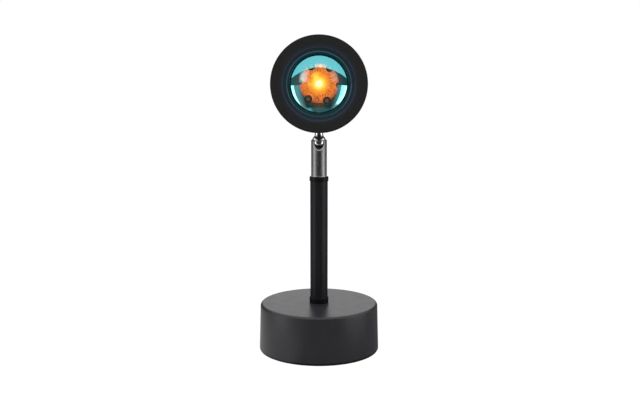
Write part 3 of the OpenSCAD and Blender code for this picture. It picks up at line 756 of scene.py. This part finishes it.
curve_r = 38 * mm                      # radius of the dome's curve
rim = 2.5 * mm                         # thickness of the lens at its rim
bevel = 0.2 * mm
dome_turns = 48
lens_steps = 192
back_depth = -lens_high.y
apex_depth = -lens_low.y
rim_depth = back_depth + rim
centre_depth = apex_depth - curve_r
dome_r = math.sqrt(curve_r ** 2 - (rim_depth - centre_depth) ** 2)
edge_angle = math.asin(dome_r / curve_r)
profile = [(0, back_depth), (lens_r - bevel, back_depth), (lens_r, back_depth + bevel),
           (lens_r, rim_depth - bevel), (lens_r - bevel, rim_depth)]
profile += [(curve_r * math.sin(a), centre_depth + curve_r * math.cos(a))
            for a in (edge_angle * (1 - k / dome_turns) for k in range(dome_turns))]
profile += [(0, apex_depth)]
glass_lens = turn_on_head_axis("coated_lens", profile, lens_steps)
print(f"lens apex {apex_depth / mm:.2f} mm in front, dome radius {dome_r / mm:.2f} mm, "
      f"{len(glass_lens.data.polygons)} faces")

# %% [markdown]
# ## The coating
# Clear glass bends what lies behind it, and the coating mirrors what stands before it. The dome
# mixes the two by the coating's strength, and the whole lens mirrors more where it is seen edge
# on. The mirror is itself a mix of a deep and a pale blue-green, pale low on both sides as a
# painted highlight on the two mirrored bars.

# %% Coat the lens
glass_index = 1.5
coat_strength, coat_limit = 0.62, 0.95
glass_colour = (1, 0.79, 0.58, 1)
deep_colour = (0.16, 0.86, 0.98, 1)
pale_colour = (0.42, 0.96, 1.0, 1)
coat = Finish("coated_glass")
dome = (-coat.y).ramp(rim_depth - 0.1 * mm, rim_depth + 0.1 * mm)
edge_on = coat.add("ShaderNodeFresnel", None, {"IOR": glass_index}, give=0)
streak = coat.noise(6 * mm, detail=2)
away, _ = coat.polar()
# painted highlight: a paler mirror colour low on both sides, where the two bars are mirrored
painted_bar_highlight = (away.ramp(17.6 * mm, 19.2 * mm) * abs(coat.x).ramp(8 * mm, 10 * mm)
              * (head_z - coat.z).ramp(0, 2 * mm))
clear = coat.add("ShaderNodeBsdfRefraction", None,
                 {"Color": glass_colour, "Roughness": 0, "IOR": glass_index}, give=0)
deep, pale = (coat.add("ShaderNodeBsdfAnisotropic", None, {"Color": colour, "Roughness": 0.02},
                       give=0) for colour in (deep_colour, pale_colour))
mirror = coat.add("ShaderNodeMixShader", None,
                  {0: painted_bar_highlight.most(0.3 * streak), 1: deep, 2: pale}, give=0)
share = (coat_strength * dome + edge_on).least(coat_limit)
glass_lens.data.materials.append(coat.show(
    coat.add("ShaderNodeMixShader", None, {0: share, 1: clear, 2: mirror}, give=0)))
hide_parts("lens")
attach(glass_lens, "head")
print("the coated lens rides with the head")

# %% [markdown]
# ## Marks on the board
# Under the lens the board shows tracks that run out from the emitter and beads of solder near
# its edge. They repeat round one axis, so Geometry Nodes lays them. The result is baked to a
# plain mesh, because the pieces that move with a joint carry no modifiers.

# %% A geometry tree that can be baked
class Layout(Graph):
    """A geometry tree with named inputs."""

    def __init__(self, name, **inputs):
        tree = bpy.data.node_groups.new(name, "GeometryNodeTree")
        super().__init__(tree)
        self.key = {}
        for label, kind in inputs.items():
            self.key[label] = tree.interface.new_socket(
                name=label, in_out="INPUT", socket_type="NodeSocket" + kind).identifier
        tree.interface.new_socket(name="Geometry", in_out="OUTPUT",
                                  socket_type="NodeSocketGeometry")
        self.entry = self.add("NodeGroupInput")
        self.exit = self.add("NodeGroupOutput")

    def given(self, label):
        """The value of a named input."""
        return Signal(self, self.entry.outputs[label])

    def bake(self, name, **values):
        """Runs the tree on an empty mesh and returns a plain mesh object."""
        thing = bpy.data.objects.new(name, bpy.data.meshes.new(name))
        bpy.context.collection.objects.link(thing)
        modifier = thing.modifiers.new("layout", "NODES")
        modifier.node_group = self.tree
        for label, value in values.items():
            modifier[self.key[label]] = value
        ready = thing.evaluated_get(bpy.context.evaluated_depsgraph_get())
        mesh = bpy.data.meshes.new_from_object(ready)
        thing.modifiers.clear()
        thing.data = mesh
        return thing


print("a layout takes named inputs and gives a plain mesh")

# %% [markdown]
# ## A ring of beads
# The tree lays a circle of points and puts one flattened bead on each, with its length pointing
# outwards. The beads differ a little in length and width from one to the next. The whole ring is
# then stood upright on the face of the board.

# %% Build the tree of the ring
smallest, largest = 0.65, 1.2          # how much the beads differ in length and width
ring = Layout("ring_of_beads", Count="Int", Radius="Float", Length="Float", Width="Float",
              Height="Float", Seed="Int", Finish="Material")
points = ring.add("GeometryNodeMeshCircle", None,
                  {"Vertices": ring.given("Count"), "Radius": ring.given("Radius")}, give=0)
bead = ring.add("GeometryNodeMeshUVSphere", None, {"Segments": 14, "Rings": 8, "Radius": 0.5},
                give=0)
order = ring.add("GeometryNodeInputIndex", give=0)
heading = ring.add("ShaderNodeCombineXYZ",
                   sockets={2: order * (2 * math.pi) / ring.given("Count")}, give=0)
size = ring.add("FunctionNodeRandomValue", {"data_type": "FLOAT"},
                {2: smallest, 3: largest, "ID": order, "Seed": ring.given("Seed")}, give=1)
shape = ring.add("ShaderNodeCombineXYZ",
                 sockets={0: ring.given("Length") * size, 1: ring.given("Width") * size,
                          2: ring.given("Height")}, give=0)
laid = ring.add("GeometryNodeInstanceOnPoints", None,
                {"Points": points, "Instance": bead, "Rotation": heading, "Scale": shape}, give=0)
stood = ring.add("GeometryNodeTransform", None,
                 {"Geometry": ring.add("GeometryNodeRealizeInstances", None, {0: laid}, give=0),
                  "Rotation": (math.pi / 2, 0, 0), "Translation": (0, board_face_y, head_z)},
                 give=0)
dressed = ring.add("GeometryNodeSetMaterial", None,
                   {"Geometry": stood, "Material": ring.given("Finish")}, give=0)
ring.tree.links.new(dressed.socket, ring.exit.inputs[0])
print("one tree for both rings, with", len(ring.key), "inputs")

# %% [markdown]
# ## Tracks and solder
# The same tree serves twice. Thirty narrow beads make the tracks, and twenty-two round ones
# further out make the solder. Each ring has a seed of its own, and both move with the head.

# %% Lay the tracks and the solder
marks = {
    "board_tracks": dict(Count=30, Radius=6.6 * mm, Length=2.0 * mm, Width=0.34 * mm,
                         Height=0.12 * mm, Seed=4),
    "board_solder": dict(Count=22, Radius=8.6 * mm, Length=0.75 * mm, Width=0.75 * mm,
                         Height=0.3 * mm, Seed=9)}
glows = {"board_tracks": ((0.30, 0.06, 0.01), 1.5), "board_solder": ((0.85, 0.50, 0.08), 2.6)}
for name, sizes in marks.items():
    colour, strength = glows[name]
    finish = glowing(name + "_glow", [(0.0, colour), (1.0, colour)], board_r, strength,
                     base=0.3, gloss=0.3)
    beads = ring.bake(name, Finish=finish, **sizes)
    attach(beads, "head")
    print(name, len(beads.data.polygons), "faces")
